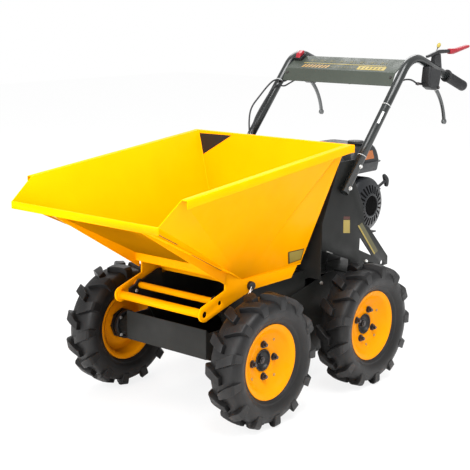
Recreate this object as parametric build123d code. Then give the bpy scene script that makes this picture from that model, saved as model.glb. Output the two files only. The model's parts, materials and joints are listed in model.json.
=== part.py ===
from build123d import *
import os
from math import acos, asin, atan2, cos, degrees, hypot, pi, radians, sin, tan

# Motorized wheelbarrow: a 4x4 mini dumper with a tipping tub, in millimetres.
# +X is the machine's left, -Y its front, +Z up. Sizes below count Y from the front axle and Z from
# the ground. Each piece is moved by HALF_WAY at the end, so that the origin is under the middle.

# Wheels
TRACK = 620
WHEELBASE = 529
TYRE_RADIUS = 207.5
TYRE_HALF_WIDTH = 56
CARCASS_RADIUS = 189
LUGS_PER_SIDE = 13
LUG_REACH = 60
LUG_ROOT = 150
RIM_SEAT_RADIUS = 101.6
RIM_FLANGE_RADIUS = 115.5
RIM_HALF_WIDTH = 33
RIM_SEAT_HALF_WIDTH = 27
RIM_SHEET = 3
RIM_SIDES = 26
DISC_SHEET = 4
BEAD_CLEARANCE = 0.3
HUB_PILOT_RADIUS = 34
HUB_PILOT_LENGTH = 14
HUB_FLANGE_SIDE = 96
HUB_FLANGE_THICKNESS = 8
SHAFT_RADIUS = 14
SHAFT_CLEARANCE = 0.05

# Chassis box
CHASSIS_HALF_WIDTH = 173
CHASSIS_PLATE = 5
CHASSIS_FRONT = -102
NOSE_BOTTOM = 202
NOSE_TOP = 296
BELLY = 100
BELLY_FRONT = 140
FRONT_TUBE_NOTCH = ((-88, 283), (-12, 283), (0, NOSE_TOP))
DECK_HEIGHT = 366
RAMP_START = 200
RAMP_END = 511
CHASSIS_REAR = 650
AXLE_HOUSING_RADIUS = 36
AXLE_FLANGE_RADIUS = 44
AXLE_FLANGE_THICKNESS = 8
HUB_GAP = 6

# Engine bay
BAY_PLATE = 4
BAY_FRONT = 388
BAY_KNEE_HEIGHT = 560
BAY_TOP_HEIGHT = 752
BAY_TOP_FRONT = 478
BAY_SKIRT_HEIGHT = 471
BAY_FOOT_FRONT = 541
BRACKET_HOLE_RADIUS = 7
BRACKET_HOLE = (737, DECK_HEIGHT + 5)
ENGINE_DECK_TOP = 446
ENGINE_DECK_REAR = 884

# Engine
CRANK = (790, 555)
RECOIL_FOOT = 66
RECOIL_RISE = 22
RECOIL_STEM = (872, 621)
RECOIL_GRIP = (905, 634)
BELT_GUARD = (-190, -146)
TANK_ENDS = (-95, 128)
TANK_FRONT = 712
TANK_REAR = 873
TANK_HEIGHTS = (670, 706, 772)
TANK_SEAM = 6
CYLINDER_LEAN = 25
FIN_COUNT = 9
FIN_START = 84
FIN_PITCH = 11
FIN_THICKNESS = 4

# Tub
TUB_SHEET = 3
FLOOR_HALF_WIDTH = 180
FLOOR_HEIGHT = 424
FLOOR_FRONT = 55
FLOOR_REAR = 345
RIM_LINE_HALF_WIDTH = 320
RIM_REAR = (394, 824)
CHEEK_TOP = (-350, 745)
LIP = (-433, 677)
LIP_HALF_WIDTH = 312
RIM_FOLD_OUT = 20
RIM_FOLD_DOWN = 25
LIP_FOLD_DOWN = 20
CORNER_GAP = 0.4

# Tipping frame below the tub
PIVOT = (-51, 373)
ARM_INNER_FACE = 178.5
ARM_PLATE = 6
ARM_END = (-118, 352)
ARM_END_RADIUS = 25
FRONT_TUBE = (-118, 350)
FRONT_TUBE_RADIUS = 13.5
FRONT_TUBE_BORE = 10
PIVOT_TUBE_RADIUS = 10.5
PIVOT_TUBE_BORE = 7.5
PIVOT_CLEARANCE = 0.05
LUG_PLATE = 8
LUG_EYE_RADIUS = 19
LUG_TOP_HEIGHT = 394

# Handle
HANDLE_HALF_SPREAD = 253.5
HANDLE_TUBE_RADIUS = 15
HANDLE_STANDOFF = 2.5
HANDLE_FOOT = (480, 652)
HANDLE_BOLTS = ((493, 667), (550, 732.5))
HANDLE_SPACER_RADIUS = 8
HANDLE_CORNER = (860, 1089)
HANDLE_END = (1205, 963)
HANDLE_BEND_RADIUS = 100
BEND_RUNS = 6
GRIP_LENGTH = 120
GRIP_RADIUS = 18.5
GRIP_CAP = 4
DRIVE_LEVER_END = 1238
LEVER_X = HANDLE_HALF_SPREAD + 22.5
LEVER_BRACKET = (HANDLE_HALF_SPREAD - 10.5, HANDLE_HALF_SPREAD + 30.5)
CONSOLE_SHEET = 3
CONSOLE_FRONT_BOTTOM = (762, 983)
CONSOLE_FOLD = (785, 1027)
CONSOLE_REAR = (856, 1069)

CABLE_RADIUS = 3
CABLE_STEP = 30

ROUND_SIDES = 18
TUBE_SIDES = 12

FLOOR_TOP = FLOOR_HEIGHT + TUB_SHEET
SPOUT_SLOPE = (LIP[1] - FLOOR_HEIGHT) / (FLOOR_FRONT - LIP[0])
SPOUT_ANGLE = atan2(LIP[1] - FLOOR_HEIGHT, FLOOR_FRONT - LIP[0])
SPOUT_LIFT = TUB_SHEET / cos(SPOUT_ANGLE)
BEND_TOP = FLOOR_FRONT + TUB_SHEET * tan(SPOUT_ANGLE / 2)
WALL_ACROSS = 3.2

BAY_HALF_WIDTH = HANDLE_HALF_SPREAD - HANDLE_TUBE_RADIUS - HANDLE_STANDOFF

LUG_HALF_ANGLE = asin(LUG_REACH / 2 / TYRE_RADIUS)
LUG_TOP = TYRE_RADIUS * cos(LUG_HALF_ANGLE)
AXLE_HEIGHT = TYRE_RADIUS * cos(LUG_HALF_ANGLE - pi / LUGS_PER_SIDE / 2)
HANDLE_DROP = atan2(HANDLE_CORNER[1] - HANDLE_END[1], HANDLE_END[0] - HANDLE_CORNER[0])
HALF_WAY = (LIP[0] - TUB_SHEET + DRIVE_LEVER_END) / 2


def slab_x(face, x0, x1):
    """A Y-Z outline carried from x0 to x1."""
    return extrude(Plane.YZ.offset(x0) * face, amount=x1 - x0)


def slab_y(face, y0, y1):
    """An X-Z outline carried from y0 to y1."""
    return extrude(Plane.XZ.offset(-y0) * face, amount=y1 - y0, dir=(0, 1, 0))


def slab_z(face, z0, z1):
    """An X-Y outline carried from z0 to z1."""
    return extrude(Pos(0, 0, z0) * face, amount=z1 - z0)


def polygon(*points):
    return make_face(Polyline(*points, close=True))


def rod_x(centre, radius, x0, x1):
    """A round bar along X, centred on a Y-Z point."""
    return slab_x(Pos(*centre) * Circle(radius), x0, x1)


def flat_rod(centre, radius, x0, x1, sides=ROUND_SIDES):
    """A bar along X with flat sides, for round parts that nothing turns in."""
    return slab_x(Pos(*centre) * RegularPolygon(radius, sides), x0, x1)


def block(x0, x1, y0, y1, z0, z1):
    return Pos((x0 + x1) / 2, (y0 + y1) / 2, (z0 + z1) / 2) * Box(x1 - x0, y1 - y0, z1 - z0)


def other_side(piece):
    return mirror(piece, about=Plane.YZ)


def both_sides(piece):
    return Compound([piece, other_side(piece)])


def spout_underside(y):
    return FLOOR_HEIGHT + (FLOOR_FRONT - y) * SPOUT_SLOPE


def rim_height(y):
    share = (y - CHEEK_TOP[0]) / (RIM_REAR[0] - CHEEK_TOP[0])
    return CHEEK_TOP[1] + share * (RIM_REAR[1] - CHEEK_TOP[1])


# Wheels: made about their own centre, outer side towards +X

def turned(section, sides):
    """A ring of flat-sided bands round the X axis, from a section of (x, radius) points."""
    far = 1.2 * max(radius for _, radius in section)
    half = far * tan(pi / sides)
    bar = extrude(polygon(*section), amount=half, both=True)
    sector = bar & slab_x(polygon((0, 0), (far, -half), (far, half)), -200, 200)
    sectors = [Rot(360 / sides * n, 0, 0) * sector for n in range(sides)]
    return sectors[0].fuse(*sectors[1:]).clean()


def lug(side):
    """One bar of the tread: from just past the middle of the tread out over the shoulder."""
    reach = LUG_REACH / 2
    outer = TYRE_HALF_WIDTH
    # columns: distance out from the middle, distance along the tread
    edge = [(-5, -reach), (outer, -2), (outer, reach), (22, 15), (-5, -4)]
    outline = polygon(*[(side * x, along) for x, along in edge])
    plane = Plane(origin=(0, 0, LUG_TOP), x_dir=(1, 0, 0), z_dir=(0, 0, 1))
    return extrude(plane * outline, amount=LUG_ROOT - LUG_TOP)


def tyre():
    wide = TYRE_HALF_WIDTH - 2
    foot = RIM_SEAT_HALF_WIDTH - 1
    # columns: distance from the middle plane, radius
    outside = [(wide, 152), (42, CARCASS_RADIUS), (-42, CARCASS_RADIUS), (-wide, 152), (-32, 90), (32, 90)]
    seat = [(-33, 80), (-33, RIM_FLANGE_RADIUS + 2), (-foot, RIM_SEAT_RADIUS + BEAD_CLEARANCE),
            (foot, RIM_SEAT_RADIUS + BEAD_CLEARANCE), (33, RIM_FLANGE_RADIUS + 2), (33, 80)]
    pitch = 360 / LUGS_PER_SIDE
    carcass = Rot(90 + pitch / 4, 0, 0) * turned(outside, 2 * LUGS_PER_SIDE) - turned(seat, RIM_SIDES)
    lugs = []
    for step in range(LUGS_PER_SIDE):
        for side in (1, -1):
            lugs.append(Rot(180 + step * pitch + side * pitch / 4, 0, 0) * lug(side))
    return carcass.fuse(*lugs).clean()


def rim():
    """Rim barrel with a dished disc that sweeps out to its outer flange."""
    inner, foot, half = RIM_SEAT_RADIUS - RIM_SHEET, RIM_SEAT_HALF_WIDTH, RIM_HALF_WIDTH
    edge = RIM_FLANGE_RADIUS - RIM_SHEET
    t = DISC_SHEET / 2
    # columns: distance from the middle plane, radius
    front = [(t, 20), (t, 56), (9, 78), (20, inner - 3), (foot, inner), (half, edge)]
    seat = [(half, RIM_FLANGE_RADIUS), (foot, RIM_SEAT_RADIUS), (-foot, RIM_SEAT_RADIUS), (-half, RIM_FLANGE_RADIUS)]
    back = [(-half, edge), (-foot, inner), (12, inner), (5, 80), (-t, 58), (-t, 20)]
    return turned(front + seat + back, RIM_SIDES) - flat_rod((0, 0), HUB_PILOT_RADIUS, -10, 10)


def hub():
    """Square flange behind the disc, pilot through it and the axle shaft inwards."""
    back = -DISC_SHEET / 2
    face = Rot(0, 0, 45) * Rectangle(HUB_FLANGE_SIDE, HUB_FLANGE_SIDE)
    flange = slab_x(chamfer(face.vertices(), 20), back - HUB_FLANGE_THICKNESS, back)
    pilot = flat_rod((0, 0), HUB_PILOT_RADIUS, back, HUB_PILOT_LENGTH)
    shaft = rod_x((0, 0), SHAFT_RADIUS, CHASSIS_HALF_WIDTH + 4 - TRACK / 2, back - HUB_FLANGE_THICKNESS)
    return flange + pilot + shaft


def wheel_pieces():
    pieces = {}
    makers = {"tyre": tyre(), "rim": rim(), "hub": hub()}
    for end, y in (("front", 0), ("rear", WHEELBASE)):
        for name, piece in makers.items():
            left = Pos(TRACK / 2, y, AXLE_HEIGHT) * piece
            pieces[f"{name}_{end}_left"] = left
            pieces[f"{name}_{end}_right"] = other_side(left)
    return pieces


# Chassis

def chassis_side():
    outline = polygon(
        (CHASSIS_FRONT + 4, NOSE_BOTTOM), (CHASSIS_FRONT + 4, NOSE_TOP), *FRONT_TUBE_NOTCH,
        (RAMP_START, NOSE_TOP), (RAMP_END, DECK_HEIGHT), (CHASSIS_REAR, DECK_HEIGHT), (CHASSIS_REAR, 230),
        (WHEELBASE + 70, BELLY), (BELLY_FRONT, BELLY),
    )
    plate = slab_x(outline, CHASSIS_HALF_WIDTH - CHASSIS_PLATE, CHASSIS_HALF_WIDTH)
    bore = SHAFT_RADIUS + SHAFT_CLEARANCE + 4
    holes = [flat_rod((y, AXLE_HEIGHT), bore, 160, 180) for y in (0, WHEELBASE)]
    return plate - holes


def front_plate():
    return block(-CHASSIS_HALF_WIDTH, CHASSIS_HALF_WIDTH, CHASSIS_FRONT, CHASSIS_FRONT + 4, NOSE_BOTTOM, NOSE_TOP)


def belly_plate():
    inside = CHASSIS_HALF_WIDTH - CHASSIS_PLATE
    t = 4
    outline = polygon(
        (CHASSIS_FRONT + 4, NOSE_BOTTOM), (BELLY_FRONT, BELLY), (WHEELBASE + 70, BELLY), (CHASSIS_REAR, 230),
        (CHASSIS_REAR - t, 234), (WHEELBASE + 68, BELLY + t), (BELLY_FRONT + 1, BELLY + t),
        (CHASSIS_FRONT + 4, NOSE_BOTTOM + t + 0.5),
    )
    return slab_x(outline, -inside, inside)


def rear_plate():
    inside = CHASSIS_HALF_WIDTH - CHASSIS_PLATE
    return block(-inside, inside, CHASSIS_REAR - 5, CHASSIS_REAR - 1, 236, DECK_HEIGHT)


def rear_deck():
    """Deck over the gearbox, widening to the side plates behind their foot."""
    plan = [(CHASSIS_HALF_WIDTH, BAY_FRONT), (CHASSIS_HALF_WIDTH, BAY_FOOT_FRONT),
            (BAY_HALF_WIDTH, BAY_FOOT_FRONT), (BAY_HALF_WIDTH, CHASSIS_REAR + 70)]
    plan += [(-x, y) for x, y in reversed(plan)]
    return slab_z(polygon(*plan), DECK_HEIGHT, DECK_HEIGHT + 5)


def pivot_lug():
    """Tall plate inside the chassis side that carries the pivot tube, clear of the front tube's sweep."""
    inner = CHASSIS_HALF_WIDTH - CHASSIS_PLATE - LUG_PLATE
    eye = Pos(*PIVOT) * RegularPolygon(LUG_EYE_RADIUS, ROUND_SIDES)
    y, z = PIVOT
    foot = polygon((y - 47, z - 15), (y - 47, z - 3), (y + 84, z + 40), (y + 99, z + 39), (y + 99, LUG_TOP_HEIGHT),
                   (BAY_FRONT, LUG_TOP_HEIGHT), (BAY_FRONT, NOSE_TOP), (90, 240), (20, 240), (y + 18, z - 43),
                   (y - 19, z - 41))
    plate = slab_x(eye + foot, inner, inner + LUG_PLATE)
    return plate - rod_x(PIVOT, PIVOT_TUBE_RADIUS + PIVOT_CLEARANCE, inner - 1, inner + LUG_PLATE + 1)


def axle_housing(y):
    centre = (y, AXLE_HEIGHT)
    outer = TRACK / 2 - 2 - HUB_FLANGE_THICKNESS - HUB_GAP
    flange = flat_rod(centre, AXLE_FLANGE_RADIUS, CHASSIS_HALF_WIDTH, CHASSIS_HALF_WIDTH + AXLE_FLANGE_THICKNESS)
    body = flat_rod(centre, AXLE_HOUSING_RADIUS, CHASSIS_HALF_WIDTH, outer)
    bore = rod_x(centre, SHAFT_RADIUS + SHAFT_CLEARANCE, CHASSIS_HALF_WIDTH - 1, outer + 1)
    return flange + body - bore


def gearbox():
    inside = CHASSIS_HALF_WIDTH - CHASSIS_PLATE
    case = block(-70, 70, WHEELBASE - 85, WHEELBASE + 75, BELLY + 30, DECK_HEIGHT - 20)
    case = chamfer(case.edges().filter_by(Axis.X), 12)
    axle = flat_rod((WHEELBASE, AXLE_HEIGHT), 30, -inside, inside)
    return case + axle


# Engine bay

def bay_side():
    deck = DECK_HEIGHT
    outline = polygon(
        (BAY_FRONT, BAY_SKIRT_HEIGHT), (BAY_FRONT, BAY_KNEE_HEIGHT), (BAY_TOP_FRONT, BAY_TOP_HEIGHT),
        (585, BAY_TOP_HEIGHT), (560, deck + 324), (618, deck + 224), (628, deck + 158), (656, deck + 142),
        (774, deck + 22), (774, deck - 8), (722, deck - 8), (722, deck + 5), (BAY_FOOT_FRONT, deck + 5),
        (BAY_FOOT_FRONT, deck + 49),
    )
    window = polygon((603, deck + 116), (600, deck + 72), (675, deck + 40))
    plate = slab_x(outline, BAY_HALF_WIDTH - BAY_PLATE, BAY_HALF_WIDTH)
    return plate - slab_x(window, 200, 260) - rod_x(BRACKET_HOLE, BRACKET_HOLE_RADIUS, 200, 260)


def bay_front_panel():
    inside = BAY_HALF_WIDTH - BAY_PLATE
    t = 3
    outline = polygon(
        (BAY_FRONT, DECK_HEIGHT + 5), (BAY_FRONT, BAY_KNEE_HEIGHT), (BAY_TOP_FRONT, BAY_TOP_HEIGHT),
        (BAY_TOP_FRONT + t, BAY_TOP_HEIGHT), (BAY_FRONT + t, BAY_KNEE_HEIGHT - 1), (BAY_FRONT + t, DECK_HEIGHT + 5),
    )
    return slab_x(outline, -inside, inside)


def engine_deck():
    top = block(-140, 110, 560, ENGINE_DECK_REAR, ENGINE_DECK_TOP - 5, ENGINE_DECK_TOP)
    legs = [block(x - 3, x + 3, 560, 690, DECK_HEIGHT + 5, ENGINE_DECK_TOP - 5) for x in (-120, 90)]
    return top + legs


# Engine, its crankshaft along X and its cylinder leaning forward

def engine_block():
    """Foot, crankcase and the stub of the crankshaft."""
    back, front = CRANK[0] + 75, CRANK[0] - 75
    foot = block(-72, RECOIL_FOOT, front - 17, back + 7, ENGINE_DECK_TOP, ENGINE_DECK_TOP + 22)
    case = block(-62, RECOIL_FOOT, front, back, ENGINE_DECK_TOP + 22, CRANK[1] + 78)
    case = chamfer(case.edges().filter_by(Axis.X), 16)
    return foot + case + flat_rod(CRANK, 18, BELT_GUARD[1], -62)


def along_cylinder(x0, x1, start, end, half_height):
    """A block along the cylinder's axis, start and end counted from the crankshaft."""
    bar = block(x0, x1, -end, -start, -half_height, half_height)
    return Pos(0, *CRANK) * Rot(-CYLINDER_LEAN, 0, 0) * bar


def engine_cylinder():
    """Barrel with its cooling fins, and the rocker cover on the head."""
    barrel = along_cylinder(-42, 42, 60, 190, 40)
    fins = []
    for number in range(FIN_COUNT):
        start = FIN_START + number * FIN_PITCH
        fins.append(along_cylinder(-56, 56, start, start + FIN_THICKNESS, 44))
    cover = along_cylinder(-38, 38, 190, 226, 30)
    case = block(-80, 80, CRANK[0] - 75, CRANK[0] + 75, 400, 700)
    return barrel + fins + cover - case


def recoil_cover():
    """Fan housing with slots round its bevel and a raised starter cap."""
    x0, x1 = RECOIL_FOOT, 138
    # columns: distance along the crankshaft, radius
    section = [(x0, 0), (x0, 100), (x1 - 18, 100), (x1, 80), (x1, 66), (x1 + 12, 60), (x1 + 12, 0)]
    return Pos(0, *CRANK) * turned(section, 2 * ROUND_SIDES)


def recoil_handle():
    """Starter cord's stub and the grip across its end."""
    stem = Pos(130, *RECOIL_STEM) * Rot(RECOIL_RISE, 0, 0) * Box(9, 60, 9)
    grip = Pos(130, *RECOIL_GRIP) * Rot(RECOIL_RISE, 0, 0) * Box(16, 13, 46)
    return grip + stem - recoil_cover()


def fuel_tank():
    """Two pressed halves that lean out to the seam between them, on feet."""
    bottom, seam, top = TANK_HEIGHTS
    y0, y1 = TANK_FRONT, TANK_REAR
    shell = slab_x(polygon((y0 + 12, bottom), (y1 - 20, bottom), (y1, seam), (y1 - 12, top - 26), (y1 - 34, top - 4),
                           (y1 - 46, top), (y0 + 40, top), (y0 + 14, top - 8), (y0, seam)), *TANK_ENDS)
    lip = block(TANK_ENDS[0] - TANK_SEAM, TANK_ENDS[1] + TANK_SEAM, y0 - TANK_SEAM, y1 + TANK_SEAM, seam - 2, seam + 2)
    feet = [block(x - 12, x + 12, CRANK[0] - 40, CRANK[0] + 40, CRANK[1] + 78, bottom) for x in (-45, 45)]
    return shell.fuse(lip, *feet)


def fuel_cap():
    return slab_z(Pos(84, 780) * RegularPolygon(28, ROUND_SIDES), TANK_HEIGHTS[2], TANK_HEIGHTS[2] + 11)


def air_cleaner():
    case = chamfer(block(6, 104, 565, 690, 680, 734).edges().filter_by(Axis.X), 12)
    return case + block(14, 34, 604, 626, 655, 680) - engine_cylinder()


def muffler():
    case = chamfer(block(-112, -6, 565, 690, 680, 736).edges().filter_by(Axis.X), 14)
    return case + block(-34, -14, 604, 626, 655, 680) - engine_cylinder()


def belt_guard():
    """Cover over the belt from the crankshaft down to the deck."""
    top = Pos(*CRANK) * RegularPolygon(58, ROUND_SIDES)
    foot = polygon((CRANK[0] - 57, CRANK[1] + 10), (CRANK[0] + 50, CRANK[1] - 28), (700, DECK_HEIGHT + 5),
                   (590, DECK_HEIGHT + 5))
    return slab_x(top + foot, *BELT_GUARD)


# Handle

def handle_tube():
    """Flat-sided tube, its bend turned in short mitred runs."""
    corner = Vector(*HANDLE_CORNER)
    up = (corner - Vector(*HANDLE_FOOT)).normalized()
    along = (Vector(*HANDLE_END) - corner).normalized()
    turn = acos(up.dot(along))
    tangent = HANDLE_BEND_RADIUS * tan(turn / 2)
    start = corner - up * tangent
    middle = start + Vector(up.Y, -up.X) * HANDLE_BEND_RADIUS
    route = [HANDLE_FOOT]
    for step in range(BEND_RUNS + 1):
        point = (start - middle).rotate(Axis.Z, -degrees(turn) * step / BEND_RUNS) + middle
        route.append((point.X, point.Y))
    path = Plane.YZ.offset(HANDLE_HALF_SPREAD) * Polyline(*route, HANDLE_END)
    plane = Plane(origin=path @ 0, x_dir=(1, 0, 0), z_dir=path % 0)
    tube = sweep(plane * RegularPolygon(HANDLE_TUBE_RADIUS, TUBE_SIDES), path=path, transition=Transition.RIGHT)
    spacers = [flat_rod(bolt, HANDLE_SPACER_RADIUS, BAY_HALF_WIDTH, HANDLE_HALF_SPREAD, 10) for bolt in HANDLE_BOLTS]
    return tube.fuse(*spacers)


def console():
    """A folded sheet between the uprights: an upright front strip and a long sloping top."""
    t = CONSOLE_SHEET
    outline = polygon(CONSOLE_FRONT_BOTTOM, CONSOLE_FOLD, CONSOLE_REAR, (CONSOLE_REAR[0] + 2, CONSOLE_REAR[1] - t),
                      (CONSOLE_FOLD[0] + 2, CONSOLE_FOLD[1] - t), (CONSOLE_FRONT_BOTTOM[0] + t, CONSOLE_FRONT_BOTTOM[1] - 1))
    half = HANDLE_HALF_SPREAD - HANDLE_TUBE_RADIUS
    return slab_x(outline, -half, half)


def along_handle(back, radius, length):
    """A flat-sided piece on the handle's rear run, starting back from the tube's end."""
    along = (0, cos(HANDLE_DROP), -sin(HANDLE_DROP))
    start = (HANDLE_HALF_SPREAD, HANDLE_END[0] + back * along[1] * -1, HANDLE_END[1] - back * along[2])
    plane = Plane(origin=start, x_dir=(1, 0, 0), z_dir=along)
    return extrude(plane * RegularPolygon(radius, TUBE_SIDES), amount=length)


def grip():
    core = along_handle(GRIP_LENGTH, HANDLE_TUBE_RADIUS, GRIP_LENGTH)
    collar = along_handle(GRIP_LENGTH, GRIP_RADIUS + 4, 6)
    return along_handle(GRIP_LENGTH, GRIP_RADIUS, GRIP_LENGTH + GRIP_CAP) + collar - core


def rear_run():
    return along_handle(320, HANDLE_TUBE_RADIUS, 320)


def lever_bracket():
    """Clamp below the tube that carries the hand lever, reaching outwards."""
    outline = polygon((920, 1046), (912, 972), (925, 962), (966, 955), (1000, 960), (1026, 1000), (1030, 1027))
    return slab_x(outline, LEVER_BRACKET[0], LEVER_BRACKET[1]) - rear_run()


def hand_lever():
    """Curved blade with a knobbed end."""
    blade = make_face([
        *Polyline((1046, 846), (1058, 846)).edges(), ThreePointArc((1058, 846), (1038, 908), (1000, 960)),
        *Polyline((1000, 960), (984, 958)).edges(), ThreePointArc((984, 958), (1027, 906), (1046, 846)),
    ])
    knob = slab_x(Pos(1052, 843) * RegularPolygon(9, 8), LEVER_X - 6, LEVER_X + 6)
    return slab_x(blade, LEVER_X - 4, LEVER_X + 4) + knob - lever_bracket()


def drive_stand():
    outline = polygon((996, 1040), (1004, 1078), (1038, 1084), (1050, 1020))
    return slab_x(outline, HANDLE_HALF_SPREAD - 9, HANDLE_HALF_SPREAD + 9) - rear_run()


def drive_lever():
    outline = polygon((960, 1072), (1004, 1078), (1038, 1084), (1108, 1085), (1108, 1097), (1045, 1098), (958, 1080))
    return slab_x(outline, HANDLE_HALF_SPREAD - 5, HANDLE_HALF_SPREAD + 5)


def drive_grip():
    end = DRIVE_LEVER_END
    outline = polygon((1108, 1080), (1130, 1080), (end, 1100), (end, 1110), (1150, 1099), (1108, 1100))
    return slab_x(outline, HANDLE_HALF_SPREAD - 10, HANDLE_HALF_SPREAD + 10)


def throttle():
    stem = block(HANDLE_HALF_SPREAD - 9, HANDLE_HALF_SPREAD - 6, 1020, 1034, 1084, 1112)
    knob = block(HANDLE_HALF_SPREAD - 14, HANDLE_HALF_SPREAD - 2, 1016, 1042, 1104, 1124)
    return chamfer(knob.edges().filter_by(Axis.X), 5) + stem


def stop_switch():
    """Box and rocker on the console's top, by the right-hand tube."""
    outline = polygon((826, 1051.5), (CONSOLE_REAR[0], CONSOLE_REAR[1]), (850, 1080), (820, 1062))
    return slab_x(outline, 21.5 - HANDLE_HALF_SPREAD, 55.5 - HANDLE_HALF_SPREAD)


def stop_rocker():
    outline = polygon((820, 1062), (850, 1080), (846, 1090), (824, 1078))
    return slab_x(outline, 29.5 - HANDLE_HALF_SPREAD, 49.5 - HANDLE_HALF_SPREAD)


def cable(side, points):
    """A control cable: a six-sided cord along a smooth curve through its clips, mitred at each short run."""
    curve = Spline(*[(side * (HANDLE_HALF_SPREAD + out), y, z) for out, y, z in points])
    count = round(curve.length / CABLE_STEP)
    stops = [curve @ (step / count) for step in range(count + 1)]
    runs = [(end - start).normalized() for start, end in zip(stops, stops[1:])]
    start = Plane(origin=stops[0], z_dir=runs[0]) * RegularPolygon(CABLE_RADIUS, 6)
    ring = [Vector(*corner) for corner in start.face().outer_wire().vertices()]
    faces = [make_face(Polyline(*ring, close=True))]
    for stop, along, ahead in zip(stops[1:], runs, runs[1:] + runs[-1:]):
        mitre = along + ahead
        moved = [corner + along * ((stop - corner).dot(mitre) / along.dot(mitre)) for corner in ring]
        for n in range(6):
            faces.append(make_face(Polyline(ring[n - 1], ring[n], moved[n], moved[n - 1], close=True)))
        ring = moved
    faces.append(make_face(Polyline(*ring, close=True)))
    return Solid(Shell([face.face() for face in faces]))


def cables_left():
    """From the left lever's clamp behind the upright and down inside the engine bay."""
    # columns: distance out from the handle tube's middle, Y, Z
    return cable(1, [(-1, 912.9, 984), (-1, 902, 985.2), (-4, 866, 1003), (-12, 812, 1001), (-13, 745, 932),
                     (-14, 660, 834), (-22, 625, 793), (-29, 590, 748), (-32, 556, 690), (-50, 540, 580),
                     (-80, 524, 470), (-95, 516, 395), (-95, 516, DECK_HEIGHT + 5.3)])


def cables_right():
    """Two cables that pass below the console and bow forward of the right upright between their clips."""
    # columns: distance out from the handle tube's middle, Y, Z
    outer = [(-1, 914.3, 1000), (-1, 904, 1001), (-8, 860, 998), (-16, 800, 979), (-20, 765, 968), (-17, 748, 975),
             (-5, 731, 987), (0, 700, 968), (0, 650, 930), (0, 602, 893), (-4, 586, 848), (-18, 574, 795),
             (-31, 560, 748), (-38, 544, 650), (-60, 528, 540), (-88, 508, 450), (-100, 502, 395),
             (-100, 502, DECK_HEIGHT + 5.3)]
    inner = [(-7, 912.4, 980), (-7, 902, 981), (-12, 850, 976), (-19, 800, 960), (-24, 762, 950), (-21, 740, 958),
             (-11, 722, 966), (-9, 680, 923), (-9, 641, 884), (-11, 602, 840), (-24, 582, 790), (-38, 567, 738),
             (-46, 554, 650), (-66, 542, 540), (-98, 530, 450), (-112, 526, 395), (-112, 526, DECK_HEIGHT + 5.3)]
    return Compound([cable(-1, outer), cable(-1, inner)])


# Tub

def tub_floor():
    profile = polygon(
        (FLOOR_REAR + 4, FLOOR_HEIGHT), (FLOOR_FRONT, FLOOR_HEIGHT), LIP, (LIP[0], LIP[1] - LIP_FOLD_DOWN),
        (LIP[0] - TUB_SHEET, LIP[1] - LIP_FOLD_DOWN), (LIP[0] - TUB_SHEET, LIP[1] + SPOUT_LIFT),
        (LIP[0], LIP[1] + SPOUT_LIFT), (BEND_TOP, FLOOR_TOP), (FLOOR_REAR + 4, FLOOR_TOP),
    )
    plan = [(FLOOR_HALF_WIDTH, FLOOR_REAR + 4), (FLOOR_HALF_WIDTH, BEND_TOP), (LIP_HALF_WIDTH, LIP[0]),
            (LIP_HALF_WIDTH, LIP[0] - TUB_SHEET)]
    plan += [(-x, y) for x, y in reversed(plan)]
    return slab_x(profile, -LIP_HALF_WIDTH, LIP_HALF_WIDTH) & slab_z(polygon(*plan), 300, 900)


def tub_side():
    """Three flat facets, from the leaning rear to the upright cheek beside the spout, and the rim's fold."""
    floor_rear = (FLOOR_HALF_WIDTH, FLOOR_REAR, FLOOR_TOP)
    floor_front = (FLOOR_HALF_WIDTH, BEND_TOP, FLOOR_TOP)
    lip = (LIP_HALF_WIDTH, LIP[0], LIP[1] + SPOUT_LIFT)
    rim_rear = (RIM_LINE_HALF_WIDTH, *RIM_REAR)
    cheek = (RIM_LINE_HALF_WIDTH, *CHEEK_TOP)
    facets = [(floor_rear, rim_rear, floor_front), (floor_front, rim_rear, cheek), (floor_front, cheek, lip)]
    panels = [extrude(polygon(*facet), amount=WALL_ACROSS, dir=(-1, 0, 0)) for facet in facets]
    out, down, t, top = RIM_FOLD_OUT, RIM_FOLD_DOWN, TUB_SHEET, RIM_LINE_HALF_WIDTH
    fold = polygon((top - 2.5, 0), (top + out, 0), (top + out, -down), (top + out - t, -down), (top + out - t, -t),
                   (top - 2.5, -t))
    start = RIM_REAR[0] - CORNER_GAP
    fold = Pos(0, start, rim_height(start)) * (Plane.XZ * fold)
    run = Vector(0, CHEEK_TOP[0] - start, CHEEK_TOP[1] - rim_height(start))
    return panels[0].fuse(*panels[1:], extrude(fold, amount=run.length, dir=run.normalized())).clean()


def tub_rear():
    lean = (RIM_REAR[0] - FLOOR_REAR) / (RIM_REAR[1] - FLOOR_TOP)
    t = TUB_SHEET * hypot(1, lean)
    profile = polygon((FLOOR_REAR, FLOOR_TOP), RIM_REAR, (RIM_REAR[0] + t, RIM_REAR[1]), (FLOOR_REAR + t, FLOOR_TOP))
    front = polygon((-FLOOR_HALF_WIDTH, FLOOR_TOP), (FLOOR_HALF_WIDTH, FLOOR_TOP),
                    (RIM_LINE_HALF_WIDTH, RIM_REAR[1]), (-RIM_LINE_HALF_WIDTH, RIM_REAR[1]))
    wall = slab_x(profile, -400, 400) & slab_y(front, FLOOR_REAR - 10, RIM_REAR[0] + 20)
    y, z, half = *RIM_REAR, RIM_LINE_HALF_WIDTH + RIM_FOLD_OUT
    out, down, t = RIM_FOLD_OUT, RIM_FOLD_DOWN, TUB_SHEET
    fold = slab_x(polygon((y, z), (y + out, z), (y + out, z - down), (y + out - t, z - down),
                          (y + out - t, z - t), (y, z - t)), -half, half)
    ends = [block(x0, x0 + t, y, y + out, z - down, z) for x0 in (-half, half - t)]
    return wall + fold + ends


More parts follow.
